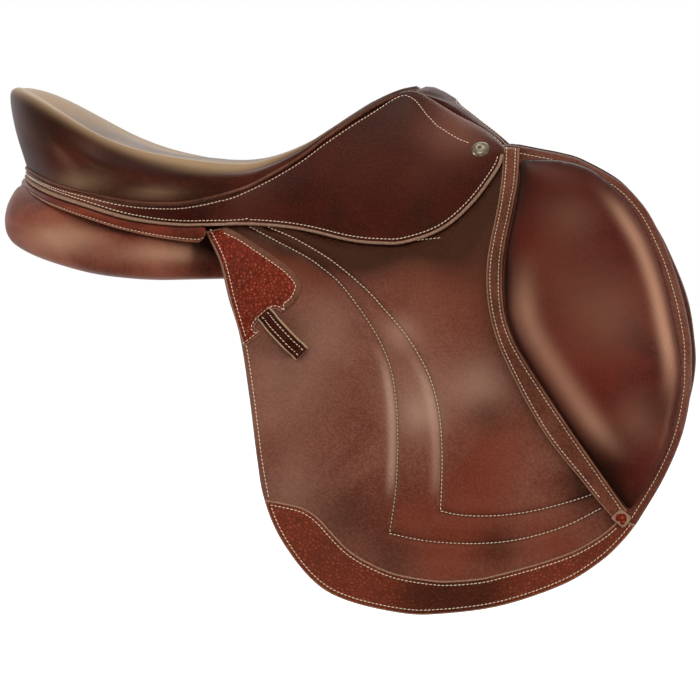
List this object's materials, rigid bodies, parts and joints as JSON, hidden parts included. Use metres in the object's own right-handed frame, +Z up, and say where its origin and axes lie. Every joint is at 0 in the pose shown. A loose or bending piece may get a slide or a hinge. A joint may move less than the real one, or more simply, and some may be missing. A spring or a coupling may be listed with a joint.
{
  "type": "saddle",
  "caption": "Close-contact jumping saddle with forward flaps, raised knee pads, lifting skirts, stirrup bars with safety catches and girth straps",
  "frame": {"origin": "on the midline in the channel between the panels, under the deepest part of the seat", "axes": "+X forward to the pommel, +Y to the rider's left, +Z up"},
  "size_m": [0.6477, 0.438, 0.4709],
  "materials": {
    "seat_leather": "smooth, waxed to a gloss",
    "skirt_leather": "smooth dark maroon, satin",
    "flap_leather": "grained, satin",
    "pebbled_leather": "pebble grain",
    "lining_leather": "soft, matt",
    "girth_leather": "thick strap leather, waxed",
    "web": "woven nylon",
    "foam": "closed-cell seat foam",
    "tree_wood": "laminated beech, sealed",
    "steel": "forged and polished",
    "chrome": "polished chrome plate"
  },
  "bodies": {
    "saddle": {"seat_cover": "seat_leather", "seat_foam": "foam", "seat_welt": "seat_leather", "tree": "tree_wood", "head_plate": "steel", "channel_lining": "lining_leather", "pommel_facing": "skirt_leather", "cantle_facing": "pebbled_leather", "seat_web_cross": "web", "skirt_band_right": "skirt_leather", "skirt_band_left": "skirt_leather", "panel_right": "lining_leather", "panel_left": "lining_leather", "sweat_flap_right": "lining_leather", "sweat_flap_left": "lining_leather", "knee_block_right": "lining_leather", "knee_block_left": "lining_leather", "thigh_block_right": "lining_leather", "thigh_block_left": "lining_leather", "saddle_nail_right": "chrome", "saddle_nail_left": "chrome", "stirrup_bar_right": "steel", "stirrup_bar_left": "steel", "point_pocket_right": "lining_leather", "point_pocket_left": "lining_leather", "seat_web_right": "web", "seat_web_left": "web", "girth_web_front_right": "web", "girth_web_front_left": "web", "girth_web_rear_right": "web", "girth_web_rear_left": "web"},
    "right_flap": {"flap_right": "flap_leather", "flap_knee_pad_right": "seat_leather", "front_strip_right": "flap_leather", "bottom_trim_right": "pebbled_leather", "flap_patch_right": "pebbled_leather", "keeper_loop_right": "pebbled_leather", "corner_tab_right": "pebbled_leather"},
    "left_flap": {"flap_left": "flap_leather", "flap_knee_pad_left": "seat_leather", "front_strip_left": "flap_leather", "bottom_trim_left": "pebbled_leather", "flap_patch_left": "pebbled_leather", "keeper_loop_left": "pebbled_leather", "corner_tab_left": "pebbled_leather"},
    "right_skirt": {"skirt_right": "skirt_leather"},
    "left_skirt": {"skirt_left": "skirt_leather"},
    "right_catch": {"stirrup_catch_right": "steel"},
    "left_catch": {"stirrup_catch_left": "steel"},
    "right_girth_strap_1": {"billet_1_right": "girth_leather"},
    "right_girth_strap_2": {"billet_2_right": "girth_leather"},
    "right_girth_strap_3": {"billet_3_right": "girth_leather"},
    "left_girth_strap_1": {"billet_1_left": "girth_leather"},
    "left_girth_strap_2": {"billet_2_left": "girth_leather"},
    "left_girth_strap_3": {"billet_3_left": "girth_leather"}
  },
  "joints": [
    {"name": "right_flap_lift", "type": "hinge", "parent": "saddle", "child": "right_flap", "pos_m": [-0.015, -0.1095, 0.013], "axis": [-0.9665, -0.0628, -0.2489], "range_deg": [0, 70]},
    {"name": "left_flap_lift", "type": "hinge", "parent": "saddle", "child": "left_flap", "pos_m": [-0.015, 0.1095, 0.013], "axis": [0.9665, -0.0628, 0.2489], "range_deg": [0, 70]},
    {"name": "right_skirt_lift", "type": "hinge", "parent": "right_flap", "child": "right_skirt", "pos_m": [-0.015, -0.1095, 0.013], "axis": [-0.9665, -0.0628, -0.2489], "range_deg": [0, 50]},
    {"name": "left_skirt_lift", "type": "hinge", "parent": "left_flap", "child": "left_skirt", "pos_m": [-0.015, 0.1095, 0.013], "axis": [0.9665, -0.0628, 0.2489], "range_deg": [0, 50]},
    {"name": "right_catch_turn", "type": "hinge", "parent": "saddle", "child": "right_catch", "pos_m": [0.1355, -0.09611, 0.04075], "axis": [0.0764, 0.8553, -0.5124], "range_deg": [0, 75]},
    {"name": "left_catch_turn", "type": "hinge", "parent": "saddle", "child": "left_catch", "pos_m": [0.1355, 0.09611, 0.04075], "axis": [-0.0764, 0.8553, 0.5124], "range_deg": [0, 75]},
    {"name": "right_girth_strap_1_swing", "type": "hinge", "parent": "saddle", "child": "right_girth_strap_1", "pos_m": [0.165, -0.11019, 0], "axis": [0, 1, 0], "range_deg": [-3, 3]},
    {"name": "right_girth_strap_2_swing", "type": "hinge", "parent": "saddle", "child": "right_girth_strap_2", "pos_m": [0.133, -0.10838, 0], "axis": [0, 1, 0], "range_deg": [-3, 3]},
    {"name": "right_girth_strap_3_swing", "type": "hinge", "parent": "saddle", "child": "right_girth_strap_3", "pos_m": [0.101, -0.10657, 0], "axis": [0, 1, 0], "range_deg": [-3, 3]},
    {"name": "left_girth_strap_1_swing", "type": "hinge", "parent": "saddle", "child": "left_girth_strap_1", "pos_m": [0.165, 0.11019, 0], "axis": [0, 1, 0], "range_deg": [-3, 3]},
    {"name": "left_girth_strap_2_swing", "type": "hinge", "parent": "saddle", "child": "left_girth_strap_2", "pos_m": [0.133, 0.10838, 0], "axis": [0, 1, 0], "range_deg": [-3, 3]},
    {"name": "left_girth_strap_3_swing", "type": "hinge", "parent": "saddle", "child": "left_girth_strap_3", "pos_m": [0.101, 0.10657, 0], "axis": [0, 1, 0], "range_deg": [-3, 3]}
  ],
  "couplings": [
    {"joint": "right_girth_strap_2_swing", "follows": "right_girth_strap_1_swing", "ratio": 1},
    {"joint": "right_girth_strap_3_swing", "follows": "right_girth_strap_1_swing", "ratio": 1},
    {"joint": "left_girth_strap_2_swing", "follows": "left_girth_strap_1_swing", "ratio": 1},
    {"joint": "left_girth_strap_3_swing", "follows": "left_girth_strap_1_swing", "ratio": 1}
  ]
}
